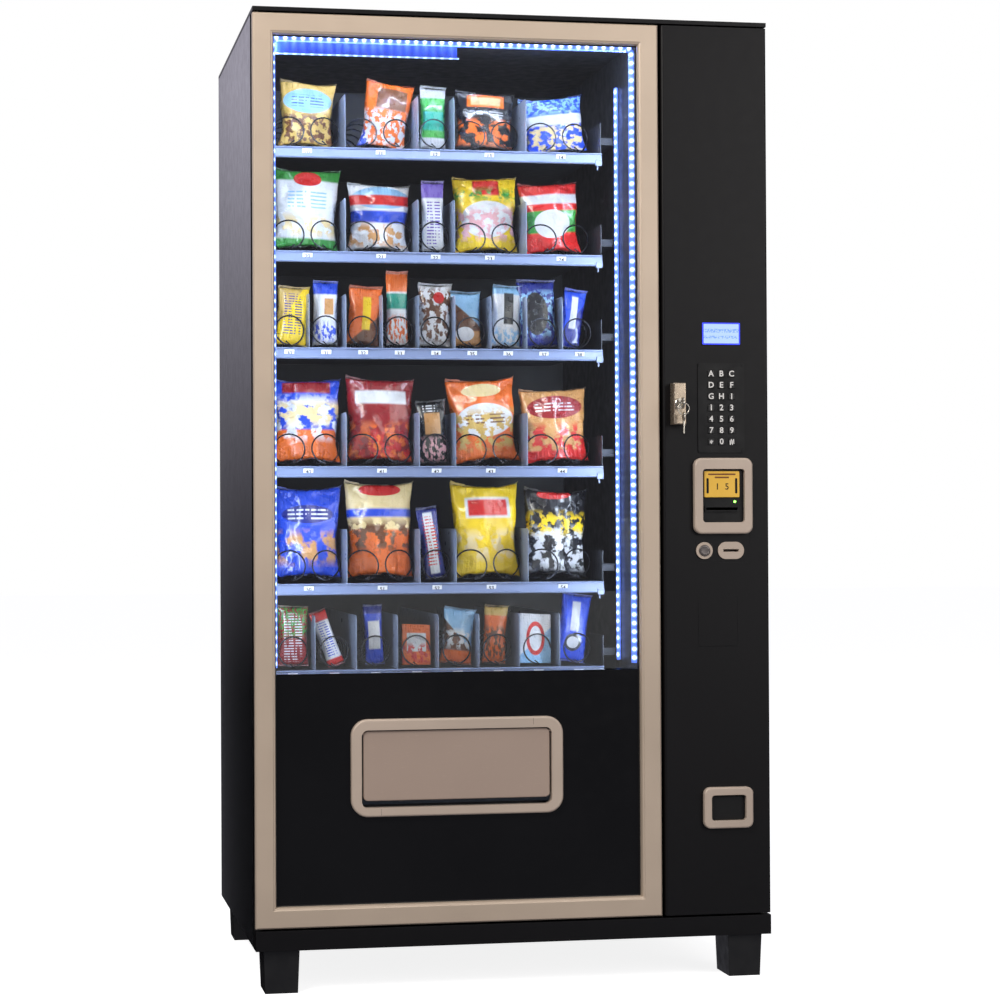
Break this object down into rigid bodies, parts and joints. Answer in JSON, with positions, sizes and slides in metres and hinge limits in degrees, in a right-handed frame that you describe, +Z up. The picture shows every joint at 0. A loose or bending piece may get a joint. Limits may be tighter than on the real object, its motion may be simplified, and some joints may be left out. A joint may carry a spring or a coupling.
{
  "type": "snack vending machine",
  "caption": "Glass-front snack vending machine with spiral-coil trays, delivery flap, hinged doors, keypad, bill and coin units.",
  "frame": {"origin": "on the floor at the centre of the four leg bolt holes", "axes": "+Z up, the doors face -Y, +X to the right of a customer who faces the machine"},
  "size_m": [0.99, 0.823, 1.834],
  "materials": {
    "cabinet_paint": "semi-gloss powder coat",
    "door_paint": "semi-gloss powder coat",
    "galvanised": "galvanised sheet",
    "leg_steel": "satin paint",
    "liner_paint": "satin paint",
    "bin_paint": "satin paint",
    "champagne": "satin champagne anodised",
    "pane": "clear tempered glass",
    "black_gloss": "high gloss",
    "bezel": "satin champagne paint",
    "flap": "satin champagne paint",
    "tray_metal": "satin grey paint",
    "rail": "light blue-grey extrusion",
    "divider": "satin grey paint",
    "coil_wire": "dark coated spring wire",
    "motor": "moulded",
    "packet": "printed film packets",
    "packet_a": "printed film packet",
    "packet_b": "printed film packet",
    "light": "lit diffuser",
    "display": "smoked window",
    "keypad": "textured",
    "key_cap": "satin black, white printed character",
    "acceptor": "textured",
    "trim_metal": "satin champagne paint",
    "button_metal": "satin dark grey",
    "lock_steel": "cast nickel finish",
    "key_steel": "nickel plated",
    "pin_steel": "zinc plated",
    "inlet": "moulded black",
    "equipment": "grey housings"
  },
  "bodies": {
    "cabinet": {"left_side_panel": "cabinet_paint", "right_side_panel": "cabinet_paint", "rear_panel": "galvanised", "top_panel": "cabinet_paint", "base_frame": "cabinet_paint", "legs": "leg_steel", "compartment_liner": "liner_paint", "delivery_bin": "bin_paint", "hinge_pins": "pin_steel", "power_inlet": "inlet", "bay_equipment": "equipment", "led_strips": "light", "trays": "tray_metal", "price_rails": "rail", "tray_dividers": "divider", "coil_motors": "motor", "spiral_coils": "coil_wire", "snack_packs": "packet"},
    "glass_door": {"door_frame": "champagne", "door_pan": "door_paint", "door_glass": "pane", "door_lower_panel": "black_gloss", "delivery_bezel": "bezel"},
    "delivery_flap": {"delivery_flap": "flap"},
    "control_door": {"control_door_panel": "door_paint", "display_module": "display", "keypad_plate": "keypad", "bill_bezel": "trim_metal", "bill_acceptor": "acceptor", "coin_trim": "trim_metal", "coin_cup": "trim_metal"},
    "key_a": {"key_a": "key_cap"},
    "key_b": {"key_b": "key_cap"},
    "key_c": {"key_c": "key_cap"},
    "key_d": {"key_d": "key_cap"},
    "key_e": {"key_e": "key_cap"},
    "key_f": {"key_f": "key_cap"},
    "key_g": {"key_g": "key_cap"},
    "key_h": {"key_h": "key_cap"},
    "key_i": {"key_i": "key_cap"},
    "key_1": {"key_1": "key_cap"},
    "key_2": {"key_2": "key_cap"},
    "key_3": {"key_3": "key_cap"},
    "key_4": {"key_4": "key_cap"},
    "key_5": {"key_5": "key_cap"},
    "key_6": {"key_6": "key_cap"},
    "key_7": {"key_7": "key_cap"},
    "key_8": {"key_8": "key_cap"},
    "key_9": {"key_9": "key_cap"},
    "key_star": {"key_star": "key_cap"},
    "key_0": {"key_0": "key_cap"},
    "key_hash": {"key_hash": "key_cap"},
    "lock_handle": {"lock_handle": "lock_steel"},
    "lock_key": {"lock_key": "key_steel"},
    "coin_return_button": {"coin_return_button": "button_metal"},
    "coin_return_flap": {"coin_return_flap": "button_metal"},
    "vend_coil_a": {"vend_coil_a": "coil_wire"},
    "vend_coil_b": {"vend_coil_b": "coil_wire"},
    "vend_pack_a": {"vend_pack_a": "packet_a"},
    "vend_pack_b": {"vend_pack_b": "packet_b"}
  },
  "joints": [
    {"name": "glass_door_hinge", "type": "hinge", "parent": "cabinet", "child": "glass_door", "pos_m": [-0.4855, -0.35, 0.972], "axis": [0, 0, -1], "range_deg": [0, 110]},
    {"name": "control_door_hinge", "type": "hinge", "parent": "cabinet", "child": "control_door", "pos_m": [0.4855, -0.35, 0.972], "axis": [0, 0, 1], "range_deg": [0, 110]},
    {"name": "delivery_flap_hinge", "type": "hinge", "parent": "glass_door", "child": "delivery_flap", "pos_m": [-0.1139, -0.366, 0.479], "axis": [1, 0, 0], "range_deg": [0, 65]},
    {"name": "coin_flap_hinge", "type": "hinge", "parent": "control_door", "child": "coin_return_flap", "pos_m": [0.4096, -0.381, 0.3461], "axis": [1, 0, 0], "range_deg": [0, 60]},
    {"name": "lock_handle_turn", "type": "hinge", "parent": "control_door", "child": "lock_handle", "pos_m": [0.3126, -0.38, 1.0975], "axis": [0, 1, 0], "range_deg": [0, 90]},
    {"name": "lock_key_turn", "type": "hinge", "parent": "lock_handle", "child": "lock_key", "pos_m": [0.3126, -0.409, 1.0975], "axis": [0, 1, 0], "range_deg": [0, 90]},
    {"name": "key_a_press", "type": "slide", "parent": "control_door", "child": "key_a", "axis": [0, 1, 0], "range_m": [0, 0.002], "stiffness_N_per_m": 350, "springref_m": -0.001},
    {"name": "key_b_press", "type": "slide", "parent": "control_door", "child": "key_b", "axis": [0, 1, 0], "range_m": [0, 0.002], "stiffness_N_per_m": 350, "springref_m": -0.001},
    {"name": "key_c_press", "type": "slide", "parent": "control_door", "child": "key_c", "axis": [0, 1, 0], "range_m": [0, 0.002], "stiffness_N_per_m": 350, "springref_m": -0.001},
    {"name": "key_d_press", "type": "slide", "parent": "control_door", "child": "key_d", "axis": [0, 1, 0], "range_m": [0, 0.002], "stiffness_N_per_m": 350, "springref_m": -0.001},
    {"name": "key_e_press", "type": "slide", "parent": "control_door", "child": "key_e", "axis": [0, 1, 0], "range_m": [0, 0.002], "stiffness_N_per_m": 350, "springref_m": -0.001},
    {"name": "key_f_press", "type": "slide", "parent": "control_door", "child": "key_f", "axis": [0, 1, 0], "range_m": [0, 0.002], "stiffness_N_per_m": 350, "springref_m": -0.001},
    {"name": "key_g_press", "type": "slide", "parent": "control_door", "child": "key_g", "axis": [0, 1, 0], "range_m": [0, 0.002], "stiffness_N_per_m": 350, "springref_m": -0.001},
    {"name": "key_h_press", "type": "slide", "parent": "control_door", "child": "key_h", "axis": [0, 1, 0], "range_m": [0, 0.002], "stiffness_N_per_m": 350, "springref_m": -0.001},
    {"name": "key_i_press", "type": "slide", "parent": "control_door", "child": "key_i", "axis": [0, 1, 0], "range_m": [0, 0.002], "stiffness_N_per_m": 350, "springref_m": -0.001},
    {"name": "key_1_press", "type": "slide", "parent": "control_door", "child": "key_1", "axis": [0, 1, 0], "range_m": [0, 0.002], "stiffness_N_per_m": 350, "springref_m": -0.001},
    {"name": "key_2_press", "type": "slide", "parent": "control_door", "child": "key_2", "axis": [0, 1, 0], "range_m": [0, 0.002], "stiffness_N_per_m": 350, "springref_m": -0.001},
    {"name": "key_3_press", "type": "slide", "parent": "control_door", "child": "key_3", "axis": [0, 1, 0], "range_m": [0, 0.002], "stiffness_N_per_m": 350, "springref_m": -0.001},
    {"name": "key_4_press", "type": "slide", "parent": "control_door", "child": "key_4", "axis": [0, 1, 0], "range_m": [0, 0.002], "stiffness_N_per_m": 350, "springref_m": -0.001},
    {"name": "key_5_press", "type": "slide", "parent": "control_door", "child": "key_5", "axis": [0, 1, 0], "range_m": [0, 0.002], "stiffness_N_per_m": 350, "springref_m": -0.001},
    {"name": "key_6_press", "type": "slide", "parent": "control_door", "child": "key_6", "axis": [0, 1, 0], "range_m": [0, 0.002], "stiffness_N_per_m": 350, "springref_m": -0.001},
    {"name": "key_7_press", "type": "slide", "parent": "control_door", "child": "key_7", "axis": [0, 1, 0], "range_m": [0, 0.002], "stiffness_N_per_m": 350, "springref_m": -0.001},
    {"name": "key_8_press", "type": "slide", "parent": "control_door", "child": "key_8", "axis": [0, 1, 0], "range_m": [0, 0.002], "stiffness_N_per_m": 350, "springref_m": -0.001},
    {"name": "key_9_press", "type": "slide", "parent": "control_door", "child": "key_9", "axis": [0, 1, 0], "range_m": [0, 0.002], "stiffness_N_per_m": 350, "springref_m": -0.001},
    {"name": "key_star_press", "type": "slide", "parent": "control_door", "child": "key_star", "axis": [0, 1, 0], "range_m": [0, 0.002], "stiffness_N_per_m": 350, "springref_m": -0.001},
    {"name": "key_0_press", "type": "slide", "parent": "control_door", "child": "key_0", "axis": [0, 1, 0], "range_m": [0, 0.002], "stiffness_N_per_m": 350, "springref_m": -0.001},
    {"name": "key_hash_press", "type": "slide", "parent": "control_door", "child": "key_hash", "axis": [0, 1, 0], "range_m": [0, 0.002], "stiffness_N_per_m": 350, "springref_m": -0.001},
    {"name": "coin_return_press", "type": "slide", "parent": "control_door", "child": "coin_return_button", "axis": [0, 1, 0], "range_m": [0, 0.003], "stiffness_N_per_m": 500, "springref_m": -0.001},
    {"name": "coil_a_turn", "type": "hinge", "parent": "cabinet", "child": "vend_coil_a", "pos_m": [-0.1188, 0.3, 1.248], "axis": [0, 1, 0], "range_deg": [0, 360]},
    {"name": "pack_a_advance", "type": "slide", "parent": "cabinet", "child": "vend_pack_a", "axis": [0, -1, 0], "range_m": [0, 0.03983]},
    {"name": "coil_b_turn", "type": "hinge", "parent": "cabinet", "child": "vend_coil_b", "pos_m": [-0.23963, 0.3, 0.6245], "axis": [0, 1, 0], "range_deg": [0, 360]},
    {"name": "pack_b_advance", "type": "slide", "parent": "cabinet", "child": "vend_pack_b", "axis": [0, -1, 0], "range_m": [0, 0.03983]}
  ],
  "couplings": [
    {"joint": "pack_a_advance", "follows": "coil_a_turn", "m_per_rad": 0.0063397},
    {"joint": "pack_b_advance", "follows": "coil_b_turn", "m_per_rad": 0.0063397}
  ]
}
